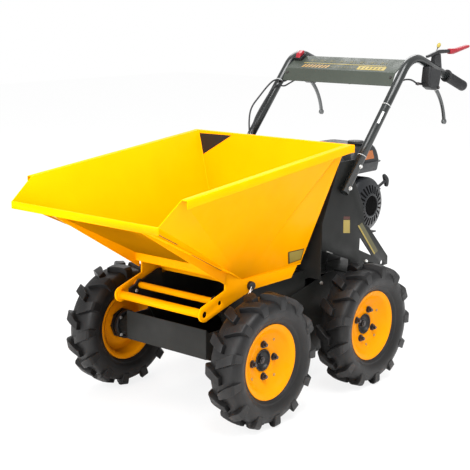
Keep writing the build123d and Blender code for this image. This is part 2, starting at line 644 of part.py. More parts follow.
def tub_arm():
    """Skirt, hanging arm and gusset edge in one plate below the side of the tub."""
    y0, z0 = ARM_END
    lean = radians(16)
    reach = ARM_END_RADIUS
    above = (y0 - reach * sin(lean), z0 + reach * cos(lean))
    below = (y0 + reach * sin(lean), z0 - reach * cos(lean))
    gusset = -26
    outline = make_face([
        *Polyline(below, (-22, 354), (63, 376), (114, 386), (294, 388), (325, FLOOR_HEIGHT),
                  (FLOOR_FRONT, FLOOR_HEIGHT), (gusset, spout_underside(gusset)), (gusset, 407), above).edges(),
        ThreePointArc(above, (y0 - reach * cos(lean), z0 - reach * sin(lean)), below),
    ])
    plate = slab_x(outline, ARM_INNER_FACE, ARM_INNER_FACE + ARM_PLATE)
    return plate - flat_rod(FRONT_TUBE, FRONT_TUBE_BORE, 170, 190) - flat_rod(PIVOT, PIVOT_TUBE_BORE, 170, 190)


def cross_tube(centre, radius, bore):
    return rod_x(centre, radius, -ARM_INNER_FACE, ARM_INNER_FACE) - flat_rod(centre, bore, -200, 200)


def spout_beam():
    y0, y1 = -30, -412
    web = polygon((y0, spout_underside(y0)), (y1, spout_underside(y1)), (y1, spout_underside(y1) - 4), (y0, 426))
    flange = polygon((y0, spout_underside(y0)), (y1, spout_underside(y1)), (y1, spout_underside(y1) - 4),
                     (y0, spout_underside(y0) - 4))
    return slab_x(web, 185, 189) + slab_x(flange, 189, 214)


def spout_frame():
    """A tapered beam on each side under the spout, with a bar across between their rear ends."""
    y0, y1 = -46, -30
    low = spout_underside(y1) - 19
    bar = slab_x(polygon((y0, spout_underside(y0)), (y1, spout_underside(y1)), (y1, low), (y0, low)), -185, 185)
    beam = spout_beam()
    return beam + other_side(beam) + bar


def floor_rail():
    """Square rail across the tub's floor between the skirts."""
    return block(-ARM_INNER_FACE, ARM_INNER_FACE, 60, 90, FLOOR_HEIGHT - 22, FLOOR_HEIGHT)


def lock_pin():
    return flat_rod((88, 402), 14, ARM_INNER_FACE + ARM_PLATE, ARM_INNER_FACE + ARM_PLATE + 14)


def nodes():
    made = wheel_pieces()
    pairs = {"chassis_side": chassis_side(), "bay_side": bay_side(), "handle_tube": handle_tube(),
             "tub_side": tub_side(), "tub_arm": tub_arm()}
    for name, piece in pairs.items():
        made[f"{name}_left"] = piece
        made[f"{name}_right"] = other_side(piece)
    made.update(
        front_plate=front_plate(), rear_plate=rear_plate(), belly_plate=belly_plate(), rear_deck=rear_deck(),
        pivot_lugs=both_sides(pivot_lug()), axle_housings_front=both_sides(axle_housing(0)),
        axle_housings_rear=both_sides(axle_housing(WHEELBASE)), gearbox=gearbox(),
        bay_front_panel=bay_front_panel(), engine_deck=engine_deck(), engine_block=engine_block(),
        recoil_cover=recoil_cover(), fuel_tank=fuel_tank(), air_cleaner=air_cleaner(), muffler=muffler(),
        tub_floor=tub_floor(), tub_rear=tub_rear(), spout_frame=spout_frame(),
        front_tube=cross_tube(FRONT_TUBE, FRONT_TUBE_RADIUS, FRONT_TUBE_BORE),
        pivot_tube=cross_tube(PIVOT, PIVOT_TUBE_RADIUS, PIVOT_TUBE_BORE),
        lock_pins=both_sides(lock_pin()), floor_rail=floor_rail(), console=console(),
        grips=both_sides(grip()), lever_brackets=both_sides(lever_bracket()), hand_levers=both_sides(hand_lever()),
        drive_stand=drive_stand(), drive_lever=drive_lever(), drive_grip=drive_grip(), throttle=throttle(),
        stop_switch=stop_switch(), stop_rocker=stop_rocker(), recoil_handle=recoil_handle(), fuel_cap=fuel_cap(),
        engine_cylinder=engine_cylinder(), belt_guard=belt_guard(), cables_left=cables_left(),
        cables_right=cables_right(),
    )
    return made


os.makedirs("parts", exist_ok=True)
for node, piece in nodes().items():
    export_step(Pos(0, -HALF_WAY, 0) * piece, f"parts/{node}.step")
print("axle height", round(AXLE_HEIGHT, 3), "half way", round(HALF_WAY, 3))
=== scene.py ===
import json
from math import atan2, cos, pi, radians, sin, tan

import bmesh
import bpy
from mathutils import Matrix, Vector

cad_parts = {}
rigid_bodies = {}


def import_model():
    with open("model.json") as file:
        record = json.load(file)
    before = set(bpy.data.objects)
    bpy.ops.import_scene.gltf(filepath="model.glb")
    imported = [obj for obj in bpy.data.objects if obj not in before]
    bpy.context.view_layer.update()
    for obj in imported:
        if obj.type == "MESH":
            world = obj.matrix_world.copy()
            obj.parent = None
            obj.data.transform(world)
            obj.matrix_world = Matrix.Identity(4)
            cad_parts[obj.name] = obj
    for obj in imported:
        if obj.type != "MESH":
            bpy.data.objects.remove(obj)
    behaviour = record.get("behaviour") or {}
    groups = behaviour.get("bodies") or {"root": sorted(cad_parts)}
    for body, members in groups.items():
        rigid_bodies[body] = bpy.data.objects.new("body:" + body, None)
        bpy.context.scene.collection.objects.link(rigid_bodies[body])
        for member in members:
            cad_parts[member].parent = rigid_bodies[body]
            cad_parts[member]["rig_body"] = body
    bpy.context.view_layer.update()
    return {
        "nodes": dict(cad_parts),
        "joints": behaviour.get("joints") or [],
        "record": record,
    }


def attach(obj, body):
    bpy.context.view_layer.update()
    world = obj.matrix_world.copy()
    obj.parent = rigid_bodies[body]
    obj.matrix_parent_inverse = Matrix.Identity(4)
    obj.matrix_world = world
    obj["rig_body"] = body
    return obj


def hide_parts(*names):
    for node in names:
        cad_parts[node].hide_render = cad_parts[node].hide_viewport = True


# The motorized wheelbarrow's looks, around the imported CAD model. Metres, +X the machine's left, -Y its
# front, +Z up. place() takes millimetres, with Y counted from the front axle and Z from the ground.

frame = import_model()
NODES = frame["nodes"]
JOINTS = {joint["name"]: joint for joint in frame["joints"]}
SLOT_OF = {part["node"]: part["material_slot"] for part in frame["record"]["subparts"]}

MM = 0.001
FRONT_AXLE = Vector(JOINTS["wheel_front_left_spin"]["pos_m"])
WHEELS = {name: Vector(JOINTS[f"wheel_{name}_spin"]["pos_m"])
          for name in ("front_left", "front_right", "rear_left", "rear_right")}
SIDES = (("left", 1), ("right", -1))


def place(x, y, z):
    """A point in metres from millimetres, Y counted from the front axle."""
    return Vector((x * MM, y * MM + FRONT_AXLE.y, z * MM))


def srgb(red, green, blue):
    """A colour as it shows on a screen, from 0 to 255, in Blender's linear values."""
    def channel(value):
        value /= 255
        return value / 12.92 if value <= 0.04045 else ((value + 0.055) / 1.055) ** 2.4
    return channel(red), channel(green), channel(blue), 1.0


# ---- camera, light and floor ----

CAMERA_AZIMUTH = 41.38
CAMERA_ELEVATION = 11.66
CAMERA_POSITION = place(2424, -2524, 1272)
FOCAL_LENGTH = 87.3
SENSOR_WIDTH = 36
LAMP_AIM = Vector((0, 0, 0.5))
# columns: name, azimuth, elevation, distance, size, watts
LAMPS = [("key", 55, 60, 5.0, 3.0, 370), ("fill", 5, 22, 5.0, 3.0, 210), ("back", 215, 45, 5.0, 3.0, 130)]
WHITE = (1, 1, 1, 1)
AMBIENT = 0.95
FLOOR_HALF = 12
FLOOR_COLOUR = (0.93, 0.93, 0.93, 1)
FLOOR_GLOW = 0.84


def add_camera():
    data = bpy.data.cameras.new("camera")
    data.lens = FOCAL_LENGTH
    data.sensor_width = SENSOR_WIDTH
    camera = bpy.data.objects.new("camera", data)
    camera.location = CAMERA_POSITION
    camera.rotation_euler = (radians(90 - CAMERA_ELEVATION), 0, radians(CAMERA_AZIMUTH))
    bpy.context.scene.collection.objects.link(camera)
    bpy.context.scene.camera = camera


def add_lamp(name, azimuth, elevation, distance, size, watts):
    """A square soft lamp that looks at the middle of the machine."""
    data = bpy.data.lights.new(name, "AREA")
    data.size = size
    data.energy = watts
    lamp = bpy.data.objects.new(name, data)
    a, e = radians(azimuth), radians(elevation)
    away = Vector((sin(a) * cos(e), -cos(a) * cos(e), sin(e)))
    lamp.location = LAMP_AIM + away * distance
    lamp.rotation_euler = away.to_track_quat("Z", "Y").to_euler()
    bpy.context.scene.collection.objects.link(lamp)


def add_world():
    """Plain grey light from all sides, and white where the camera looks past the object."""
    world = bpy.data.worlds.new("studio")
    bpy.context.scene.world = world
    world.use_nodes = True
    nodes, links = world.node_tree.nodes, world.node_tree.links
    ambient = nodes["Background"]
    ambient.inputs["Color"].default_value = WHITE
    ambient.inputs["Strength"].default_value = AMBIENT
    white = nodes.new("ShaderNodeBackground")
    white.inputs["Color"].default_value = WHITE
    path = nodes.new("ShaderNodeLightPath")
    mix = nodes.new("ShaderNodeMixShader")
    links.new(path.outputs["Is Camera Ray"], mix.inputs["Fac"])
    links.new(ambient.outputs[0], mix.inputs[1])
    links.new(white.outputs[0], mix.inputs[2])
    links.new(mix.outputs[0], nodes["World Output"].inputs["Surface"])


def add_floor():
    """A pale floor that glows nearly white for the camera and is plain for every other ray."""
    half = FLOOR_HALF
    mesh = bpy.data.meshes.new("floor")
    mesh.from_pydata([(-half, -half, 0), (half, -half, 0), (half, half, 0), (-half, half, 0)], [], [(0, 1, 2, 3)])
    floor = bpy.data.objects.new("floor", mesh)
    bpy.context.scene.collection.objects.link(floor)
    material = bpy.data.materials.new("floor")
    material.use_nodes = True
    nodes, links = material.node_tree.nodes, material.node_tree.links
    nodes.remove(nodes["Principled BSDF"])
    paper = nodes.new("ShaderNodeBsdfDiffuse")
    paper.inputs["Color"].default_value = FLOOR_COLOUR
    glow = nodes.new("ShaderNodeEmission")
    path = nodes.new("ShaderNodeLightPath")
    part = nodes.new("ShaderNodeMath")
    part.operation = "MULTIPLY"
    part.inputs[1].default_value = FLOOR_GLOW
    mix = nodes.new("ShaderNodeMixShader")
    links.new(path.outputs["Is Camera Ray"], part.inputs[0])
    links.new(part.outputs[0], mix.inputs["Fac"])
    links.new(paper.outputs[0], mix.inputs[1])
    links.new(glow.outputs[0], mix.inputs[2])
    links.new(mix.outputs[0], nodes["Material Output"].inputs["Surface"])
    mesh.materials.append(material)


# ---- materials ----

NOISE_LOW, NOISE_HIGH = 0.3, 0.7
GRAIN_HEIGHT = 0.001
SOIL = srgb(150, 140, 125)
DUST_TOP, DUST_BOTTOM = 0.45, 0.02
DUST_SCALE = 35
ROUGHNESS_SPREAD = 0.08


def add_noise(nodes, links, coordinates, scale, detail=4.0):
    noise = nodes.new("ShaderNodeTexNoise")
    noise.inputs["Scale"].default_value = scale
    noise.inputs["Detail"].default_value = detail
    links.new(coordinates, noise.inputs["Vector"])
    return noise.outputs["Fac"]


def spread(nodes, links, value, low, high):
    """Noise, which lies mostly between NOISE_LOW and NOISE_HIGH, spread over a range."""
    ramp = nodes.new("ShaderNodeMapRange")
    ramp.inputs["From Min"].default_value = NOISE_LOW
    ramp.inputs["From Max"].default_value = NOISE_HIGH
    ramp.inputs["To Min"].default_value = low
    ramp.inputs["To Max"].default_value = high
    links.new(value, ramp.inputs["Value"])
    return ramp.outputs[0]


def finish(name, colour, roughness, metallic=0.0, mottle=0.06, mottle_scale=9, grain=0.1, grain_scale=700,
           specular=0.5, dust=0.0):
    """A painted, moulded or cast surface: mottled colour, uneven gloss, fine grain and dust lower down."""
    material = bpy.data.materials.new(name)
    material.use_nodes = True
    nodes, links = material.node_tree.nodes, material.node_tree.links
    shader = nodes["Principled BSDF"]
    where = nodes.new("ShaderNodeTexCoord").outputs["Object"]
    blotch = add_noise(nodes, links, where, mottle_scale)
    paint = nodes.new("ShaderNodeMix")
    paint.data_type = "RGBA"
    dark = [value * (1 - mottle) for value in colour[:3]]
    light = [min(1.0, value * (1 + mottle)) for value in colour[:3]]
    paint.inputs["A"].default_value = (*dark, 1)
    paint.inputs["B"].default_value = (*light, 1)
    links.new(spread(nodes, links, blotch, 0, 1), paint.inputs["Factor"])
    result = paint.outputs["Result"]
    if dust:
        height = nodes.new("ShaderNodeSeparateXYZ")
        links.new(where, height.inputs[0])
        low = nodes.new("ShaderNodeMapRange")
        low.inputs["From Min"].default_value = DUST_TOP
        low.inputs["From Max"].default_value = DUST_BOTTOM
        low.inputs["To Max"].default_value = dust
        links.new(height.outputs["Z"], low.inputs["Value"])
        patchy = nodes.new("ShaderNodeMath")
        patchy.operation = "MULTIPLY"
        links.new(low.outputs[0], patchy.inputs[0])
        links.new(add_noise(nodes, links, where, DUST_SCALE, 8), patchy.inputs[1])
        soil = nodes.new("ShaderNodeMix")
        soil.data_type = "RGBA"
        soil.inputs["B"].default_value = SOIL
        links.new(patchy.outputs[0], soil.inputs["Factor"])
        links.new(result, soil.inputs["A"])
        result = soil.outputs["Result"]
    links.new(result, shader.inputs["Base Color"])
    shader.inputs["Metallic"].default_value = metallic
    shader.inputs["Specular IOR Level"].default_value = specular
    uneven = add_noise(nodes, links, where, mottle_scale * 3)
    links.new(spread(nodes, links, uneven, roughness - ROUGHNESS_SPREAD, roughness + ROUGHNESS_SPREAD),
              shader.inputs["Roughness"])
    if grain:
        bump = nodes.new("ShaderNodeBump")
        bump.inputs["Strength"].default_value = grain
        bump.inputs["Distance"].default_value = GRAIN_HEIGHT
        links.new(add_noise(nodes, links, where, grain_scale, 2), bump.inputs["Height"])
        links.new(bump.outputs[0], shader.inputs["Normal"])
    return material


# columns: colour in sRGB, roughness, what differs from a plain painted surface
LOOKS = {
    "tub_paint": ((238, 155, 0), 0.38, dict(mottle=0.03, grain=0.05, grain_scale=500, specular=0.015)),
    "rim_paint": ((212, 130, 0), 0.33, dict(mottle=0.04, grain=0.06, dust=0.01, specular=0.05)),
    "chassis_paint": ((23, 24, 23), 0.42, dict(mottle=0.12, grain=0.2, grain_scale=420, dust=0.04, specular=0.15)),
    "tube_paint": ((25, 28, 28), 0.24, dict(mottle=0.08, grain=0.12, grain_scale=420, specular=0.45)),
    "hub_paint": ((24, 25, 27), 0.42, dict(mottle=0.1, grain=0.2, dust=0.05, specular=0.3)),
    "engine_paint": ((21, 23, 26), 0.38, dict(mottle=0.08, grain=0.1, specular=0.35)),
    "cast_metal": ((70, 72, 75), 0.55, dict(metallic=0.5, mottle=0.12, grain=0.6, grain_scale=260)),
    "black_plastic": ((21, 22, 24), 0.5, dict(mottle=0.08, grain=0.3, grain_scale=900, specular=0.35)),
    "console_paint": ((54, 59, 53), 0.5, dict(mottle=0.05, grain=0.15, grain_scale=600, specular=0.2)),
    "grip_rubber": ((26, 26, 27), 0.62, dict(mottle=0.1, grain=0.4, grain_scale=900, specular=0.3)),
    "tyre": ((13, 13, 14), 0.48, dict(mottle=0.16, mottle_scale=14, grain=0.3, grain_scale=600, dust=0.02,
                                      specular=0.25)),
    "lever_metal": ((98, 100, 100), 0.32, dict(metallic=0.9, mottle=0.06, grain=0.1)),
    "bare_steel": ((120, 120, 118), 0.4, dict(metallic=0.8, mottle=0.15, grain=0.2)),
    "red_plastic": ((134, 22, 34), 0.4, dict(mottle=0.05, grain=0.1, specular=0.3)),
    "yellow_plastic": ((150, 134, 52), 0.4, dict(mottle=0.05, grain=0.1, specular=0.3)),
    "zinc": ((215, 215, 212), 0.3, dict(metallic=0.9, mottle=0.1, grain=0.12, grain_scale=900)),
    "dark_steel": ((64, 60, 60), 0.35, dict(metallic=0.7, mottle=0.2, grain=0.2, grain_scale=900)),
    "white_label": ((172, 174, 173), 0.5, dict(mottle=0.03, grain=0.05, specular=0.3)),
    "brass_label": ((152, 118, 64), 0.5, dict(mottle=0.1, grain=0.05, specular=0.3)),
    "yellow_label": ((140, 123, 58), 0.5, dict(mottle=0.14, grain=0.05, specular=0.3)),
    "olive_label": ((72, 69, 44), 0.5, dict(mottle=0.15, grain=0.05, specular=0.3)),
    "orange_label": ((150, 88, 46), 0.5, dict(mottle=0.1, grain=0.05, specular=0.3)),
    # dark red-brown: print on the bay label's band, and painted shade in the gaps beside the spout's beams
    "red_print_and_gap_shade": ((62, 24, 12), 0.5, dict(mottle=0.1, grain=0.05, specular=0.3)),
    "black_label": ((12, 12, 12), 0.5, dict(mottle=0.05, grain=0.05, specular=0.3)),
    # near-black: painted shade in slots, louvres and open tube ends, and also the recoil badge's own colour
    "painted_shade_and_badge": ((7, 7, 7), 0.9, dict(mottle=0.2, grain=0.2, specular=0.05)),
}
FINISHES = {name: finish(name, srgb(*colour), roughness, **other)
            for name, (colour, roughness, other) in LOOKS.items()}


def dress(piece, look):
    """Gives a piece its finish."""
    piece.data.materials.clear()
    piece.data.materials.append(FINISHES[look])


def dress_cad_nodes():
    """Gives each CAD node the finish of its own slot."""
    for name, node in NODES.items():
        node.data.materials.clear()
        node.data.materials.append(FINISHES[SLOT_OF[name]])


# ---- building blocks ----

MERGE_DISTANCE = 1e-6
CAD_MERGE_DISTANCE = 1e-5
FLAT_ANGLE = 0.5
EDGE_ANGLE = 25
FOLD_ANGLE = 30
FOLD_WIDTH = 4
STICKER_SINK = 0.2


def from_mesh(name, mesh, body, look):
    """A dressed piece that rides on a body."""
    piece = bpy.data.objects.new(name, mesh)
    bpy.context.scene.collection.objects.link(piece)
    dress(piece, look)
    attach(piece, body)
    return piece


def solid(name, points, faces, body, look, smooth=False):
    """A closed mesh piece, its points in metres."""
    mesh = bpy.data.meshes.new(name)
    mesh.from_pydata([tuple(point) for point in points], [], faces)
    shape = bmesh.new()
    shape.from_mesh(mesh)
    bmesh.ops.remove_doubles(shape, verts=shape.verts, dist=MERGE_DISTANCE)
    bmesh.ops.recalc_face_normals(shape, faces=shape.faces)
    shape.to_mesh(mesh)
    shape.free()
    mesh.polygons.foreach_set("use_smooth", [smooth] * len(mesh.polygons))
    return from_mesh(name, mesh, body, look)


def soften(piece, width, steps=2, angle=30):
    """Rounds a piece's edges."""
    bevel = piece.modifiers.new("edges", "BEVEL")
    bevel.width = width
    bevel.segments = steps
    bevel.limit_method = "ANGLE"
    bevel.angle_limit = radians(angle)
    bevel.harden_normals = True
    piece.data.polygons.foreach_set("use_smooth", [True] * len(piece.data.polygons))
    return piece


def rounded(node, width, broad):
    """A copy of a CAD node with rounded edges, in the node's place. Folds whose ends pass the test broad get a
    broader round."""
    mesh = NODES[node].data.copy()
    shape = bmesh.new()
    shape.from_mesh(mesh)
    bmesh.ops.remove_doubles(shape, verts=shape.verts, dist=CAD_MERGE_DISTANCE)
    bmesh.ops.dissolve_limit(shape, angle_limit=radians(FLAT_ANGLE), verts=shape.verts, edges=shape.edges)
    if broad:
        folds = [edge for edge in shape.edges
                 if len(edge.link_faces) == 2 and edge.calc_face_angle() > radians(FOLD_ANGLE)
                 and all(broad(vert.co / MM - Vector((0, FRONT_AXLE.y / MM, 0))) for vert in edge.verts)]
        bmesh.ops.bevel(shape, geom=folds, offset=FOLD_WIDTH * MM, segments=5, profile=0.5, affect="EDGES")
    shape.to_mesh(mesh)
    shape.free()
    piece = from_mesh(f"{node}_dressed", mesh, NODES[node]["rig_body"], SLOT_OF[node])
    soften(piece, width * MM, 2, EDGE_ANGLE)
    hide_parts(node)
    return piece


def turned(name, profile, centre, body, look, steps=96, side=1, closed=True, axis=(1, 0, 0), smooth=True):
    """A profile of (distance along, radius) in millimetres turned about an axis; side -1 mirrors it."""
    turn = Vector(axis).to_track_quat("X", "Z").to_matrix()
    count = len(profile)
    points, faces = [], []
    for step in range(steps):
        angle = 2 * pi * step / steps
        for along, radius in profile:
            spot = Vector((side * along, radius * sin(angle), radius * cos(angle))) * MM
            points.append(centre + turn @ spot)
        here, there = step * count, (step + 1) % steps * count
        for n in range(count if closed else count - 1):
            after = (n + 1) % count
            faces.append((here + n, here + after, there + after, there + n))
    return solid(name, points, faces, body, look, smooth)


def tube(name, points, radius, body, look, sides=24):
    """A round bar along a line of points in metres; radius in millimetres, one for all or one for each point."""
    line = [Vector(point) for point in points]
    radii = radius if isinstance(radius, list) else [radius] * len(line)
    ahead = [(line[min(n + 1, len(line) - 1)] - line[max(n - 1, 0)]).normalized() for n in range(len(line))]
    up = ahead[0].orthogonal().normalized()
    verts, faces = [], []
    for point, along, size in zip(line, ahead, radii):
        up = (up - along * up.dot(along)).normalized()
        across = along.cross(up)
        for n in range(sides):
            turn = 2 * pi * n / sides
            verts.append(point + (up * cos(turn) + across * sin(turn)) * size * MM)
    for ring in range(len(line) - 1):
        for n in range(sides):
            after = (n + 1) % sides
            here, there = ring * sides, (ring + 1) * sides
            faces.append((here + n, here + after, there + after, there + n))
    faces.append(tuple(range(sides))[::-1])
    faces.append(tuple(range(len(verts) - sides, len(verts))))
    piece = solid(name, verts, faces, body, look, smooth=True)
    for face in piece.data.polygons:
        if len(face.vertices) > 4:
            face.use_smooth = False
    return piece


def lofted(name, rings, body, look):
    """A closed skin through rings of equally many points, with flat ends; in millimetres."""
    count = len(rings[0])
    points = [place(*point) for ring in rings for point in ring]
    faces = [tuple(range(count)), tuple(range(len(points) - count, len(points)))]
    for ring in range(len(rings) - 1):
        for n in range(count):
            after = (n + 1) % count
            here, there = ring * count, (ring + 1) * count
            faces.append((here + n, here + after, there + after, there + n))
    return solid(name, points, faces, body, look)


def stickers(name, shapes, body, look, lift=0.5):
    """Thin flat plates on a surface, each from its corners in millimetres, anticlockwise seen from outside."""
    points, faces = [], []
    for corners in shapes:
        flat = [place(*corner) for corner in corners]
        out = (flat[1] - flat[0]).cross(flat[2] - flat[0]).normalized()
        start, count = len(points), len(flat)
        points += [point - out * STICKER_SINK * MM for point in flat] + [point + out * lift * MM for point in flat]
        faces += [tuple(range(start, start + count)), tuple(range(start + count, start + 2 * count))]
        for n in range(count):
            after = (n + 1) % count
            faces.append((start + n, start + after, start + count + after, start + count + n))
    return solid(name, points, faces, body, look)


def bolt(name, centre, direction, size, body, look="zinc", stud=0.0):
    """A hexagon head or nut on a washer, with a stud's end beyond it; size is the thread in millimetres."""
    turn = Vector(direction).normalized().to_track_quat("X", "Z").to_matrix()
    verts, faces = [], []
    # columns: radius, from, to, sides
    parts = [(1.1 * size, -0.1, 0.18 * size, 24), (0.92 * size, 0.18 * size, 0.85 * size, 6)]
    if stud:
        parts.append((0.5 * size, 0.85 * size, stud, 16))
    for radius, low, high, sides in parts:
        start = len(verts)
        for x in (low, high):
            for n in range(sides):
                angle = 2 * pi * n / sides
                verts.append(centre + turn @ (Vector((x, radius * cos(angle), radius * sin(angle))) * MM))
        faces += [tuple(range(start, start + sides)), tuple(range(start + sides, start + 2 * sides))]
        faces += [(start + n, start + (n + 1) % sides, start + sides + (n + 1) % sides, start + sides + n)
                  for n in range(sides)]
    return soften(solid(name, verts, faces, body, look), 0.06 * size * MM, 1)


# ---- wheels ----

LUGS_PER_SIDE = 13
TYRE_RADIUS = 207.4
# columns: distance from the middle plane, radius, from the bead round the side to the tread's middle
TYRE_PROFILE = [(26.5, 103), (28, 107), (32.3, 116.8), (36.5, 121), (41, 125), (43, 128.5), (42.5, 131), (46, 134),
                (50.5, 142), (53.2, 152), (53.8, 160), (52.6, 168), (50, 176), (45.5, 182.5), (38, 187), (26, 189.4),
                (12, 190.4), (0, 190.8)]
# columns: top x, top radius, foot x, foot radius, start and end along the tread, from the middle outwards
LUG_RINGS = [(-6, 205.5, -8, 186, -30, -5), (2, 207.0, 2, 186, -27, -2), (14, 207.3, 14, 186, -21, 7),
             (27, 206.6, 27, 185, -15, 17), (40, 204.8, 38, 182, -9, 23), (49, 201.5, 43, 176, -5, 26.5),
             (54.3, 194, 45, 170, -2, 28.5), (55.9, 180, 46, 162, -1, 29), (55.6, 164, 48, 156, 0, 28)]
LUG_TAPER = 3.0
LUG_EDGE = 1.6


def lug_mesh(shape, side, angle, mirror):
    """Adds one tapered, rounded bar of the tread to a bmesh."""
    rings = []
    for x_top, r_top, x_foot, r_foot, low, high in LUG_RINGS:
        ring = []
        for x, radius, along in ((x_foot, r_foot, low - LUG_TAPER), (x_top, r_top, low),
                                 (x_top, r_top, high), (x_foot, r_foot, high + LUG_TAPER)):
            turn = angle + along / TYRE_RADIUS
            ring.append(shape.verts.new((mirror * side * x * MM, radius * sin(turn) * MM, radius * cos(turn) * MM)))
        rings.append(ring)
    for here, there in zip(rings, rings[1:]):
        for n in range(3):
            shape.faces.new((here[n], here[n + 1], there[n + 1], there[n]))
    shape.faces.new(rings[0])
    shape.faces.new(rings[-1])


def make_tyre(name, centre, body, mirror):
    """Round carcass with a ring of lugs on each half of the tread, half a pitch apart."""
    profile = TYRE_PROFILE + [(-x, r) for x, r in reversed(TYRE_PROFILE[:-1])]
    turned(f"carcass_{name}", profile, centre, body, "tyre", steps=8 * LUGS_PER_SIDE)
    shape = bmesh.new()
    pitch = 2 * pi / LUGS_PER_SIDE
    for step in range(LUGS_PER_SIDE):
        for side in (1, -1):
            lug_mesh(shape, side, pi + step * pitch - side * pitch / 4, mirror)
    bmesh.ops.recalc_face_normals(shape, faces=shape.faces)
    bmesh.ops.translate(shape, verts=shape.verts, vec=centre)
    mesh = bpy.data.meshes.new(f"lugs_{name}")
    shape.to_mesh(mesh)
    shape.free()
    lugs = from_mesh(f"lugs_{name}", mesh, body, "tyre")
    soften(lugs, LUG_EDGE * MM, 2, EDGE_ANGLE)
    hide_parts(f"tyre_{name}")


# columns: distance from the middle plane outwards, radius; the dish and flange, then the seat, then the back
RIM_SECTION = [(2, 34), (2, 55), (2.6, 59), (4.6, 65), (9, 77), (14, 86), (20, 93), (25, 97), (29.5, 102), (32, 109),
               (33.4, 113.6), (34.6, 116.2), (33.8, 117.4), (32.4, 116.6), (30.8, 112), (29.2, 105), (27, 102.1),
               (-27, 102.1), (-29.2, 105), (-30.8, 112), (-32.4, 116.6), (-33.8, 117.4), (-34.6, 116.2), (-32, 109),
               (-27, 98.6), (12, 98.6), (8, 88), (4, 79), (0, 67), (-2, 60), (-2, 34)]
STUD_CIRCLE = 50
STUD_COUNT = 4
# columns: wheel, turn of the studs in degrees, turns of the plugs in degrees
WHEEL_TURNS = {"front_left": (0, (52, -50, -142)), "rear_left": (-25, (29, -44, -85)),
               "front_right": (40, (90, -10, 200)), "rear_right": (15, (60, -30, 180))}
PLUG_CIRCLE = 73
# columns: distance outwards from the plug's foot, and for the next three from the wheel's middle plane, then radius
PLUG_SECTION = [(0, 5), (1.6, 4.6), (2.6, 2.6), (2.9, 0.01)]
FLANGE_SECTION = [(-10, 33), (-10, 52), (-2, 52), (-2, 33)]
CARRIER_SECTION = [(-30, 35), (-30, 47), (-29, 48), (-18, 48), (-17, 47), (-17, 35)]
HUB_SECTION = [(-132, 0.01), (-132, 14), (-10, 14), (-10, 33.9), (3.4, 33.9), (4.4, 33), (4.4, 31.4), (3, 30.4),
               (-9, 29.6), (-9, 0.01)]
CARRIER_BOLT_CIRCLE = 41.5


def round_spot(centre, out, x, radius, degrees_round):
    """A point beside a wheel's centre, x outwards and radius away from the axle."""
    angle = radians(degrees_round)
    return centre + Vector((out * x, radius * cos(angle), radius * sin(angle))) * MM


def make_rim(name, centre, body, out):
    """One pressed dish from the hub out to the curled flange, its four studs with nuts, and three small plugs."""
    rim = turned(f"rim_dish_{name}", RIM_SECTION, centre, body, "rim_paint", steps=112, side=out)
    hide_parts(f"rim_{name}")
    start, plugs = WHEEL_TURNS[name]
    for n in range(STUD_COUNT):
        spot = round_spot(centre, out, 2, STUD_CIRCLE, start + 360 * n / STUD_COUNT)
        bolt(f"wheel_nut_{name}_{n + 1}", spot, (out, 0, 0), 11, body, "dark_steel", stud=17)
    for n, turn in enumerate(plugs):
        spot = round_spot(centre, out, 7.2, PLUG_CIRCLE, turn)
        turned(f"plug_{name}_{n + 1}", PLUG_SECTION, spot, body, "brass_label", steps=20, side=out, closed=False)


def make_hub(name, centre, body, out):
    """Hollow pilot with the axle's nut down inside, on a flange and the shaft."""
    core = turned(f"hub_pilot_{name}", HUB_SECTION, centre, body, "hub_paint", steps=48, side=out, closed=False)
    turned(f"hub_flange_{name}", FLANGE_SECTION, centre, body, "hub_paint", steps=8, side=out, smooth=False)
    spot = round_spot(centre, out, -9, 0, 0)
    bolt(f"axle_nut_{name}", spot, (out, 0, 0), 13, body, "dark_steel", stud=14)
    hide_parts(f"hub_{name}")


def make_carrier(name, centre, out):
    """Dark flange on the end of the axle's housing, just inside the wheel, with its bolts."""
    turned(f"carrier_{name}", CARRIER_SECTION, centre, "chassis", "hub_paint", steps=40, side=out)
    for n in range(4):
        spot = round_spot(centre, out, -30, CARRIER_BOLT_CIRCLE, 45 + 90 * n)
        bolt(f"carrier_bolt_{name}_{n + 1}", spot, (-out, 0, 0), 5, "chassis")


def make_wheels():
    for name, centre in WHEELS.items():
        out = 1 if name.endswith("left") else -1
        body = f"wheel_{name}"
        make_tyre(name, centre, body, out)
        make_rim(name, centre, body, out)
        make_hub(name, centre, body, out)
        make_carrier(name, centre, out)


# ---- folded and cast pieces, rounded from the CAD ----

RIM_START_Y, RIM_START_Z = -350, 745
RIM_RUN, RIM_RISE = 744, 79


def rim_line(y):
    """Height of the tub side's rim."""
    return RIM_START_Z + (y - RIM_START_Y) / RIM_RUN * RIM_RISE


def side_fold(point):
    return abs(point.x) > 339 and point.z > rim_line(point.y) - 6


def rear_fold(point):
    return point.y > 413 and point.z > 820


def lip_fold(point):
    return point.y < -435 and point.z > 672


